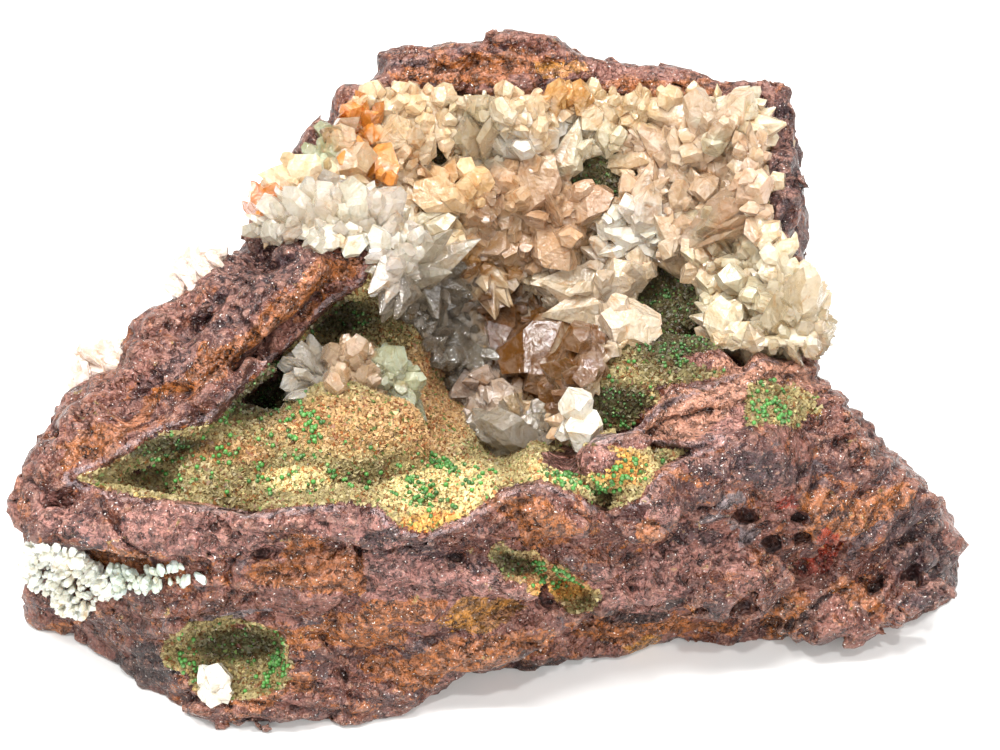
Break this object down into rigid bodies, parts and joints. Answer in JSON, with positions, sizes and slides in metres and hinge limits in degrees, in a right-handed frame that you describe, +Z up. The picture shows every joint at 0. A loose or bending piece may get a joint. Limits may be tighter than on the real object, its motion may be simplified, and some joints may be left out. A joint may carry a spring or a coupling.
{
  "type": "mineral specimen",
  "caption": "Broken block of rusty rock, open on a hollow lined with cream and honey crystals above a shelf of ochre grains and green beads, with a flat base to rest on.",
  "frame": {"origin": "middle of the specimen's box, on its flat base", "axes": "+Z up from the base, +X along the specimen's width to the right as seen from the open side, -Y out of the open side"},
  "size_m": [0.1856, 0.1088, 0.0986],
  "materials": {
    "gossan": "rough, rust-stained, with dark and orange bands",
    "cream_crystal": "translucent cream to honey, glossy faces",
    "clear_crystal": "clear to milky, glossy faces",
    "white_crystal": "milky white, satin faces",
    "pale_druse": "pale aqua sugar of small crystals",
    "ochre_grains": "matt tan to orange grains",
    "green_beads": "velvety green beads with a soft shine"
  },
  "bodies": {
    "root": {"gossan_matrix": "gossan", "crystal_crust": "cream_crystal", "fan_cluster": "clear_crystal", "stub_crystal": "white_crystal", "pocket_druse": "pale_druse", "pocket_crystal": "white_crystal", "arm_druse_low": "clear_crystal", "arm_druse_high": "clear_crystal"}
  },
  "joints": []
}
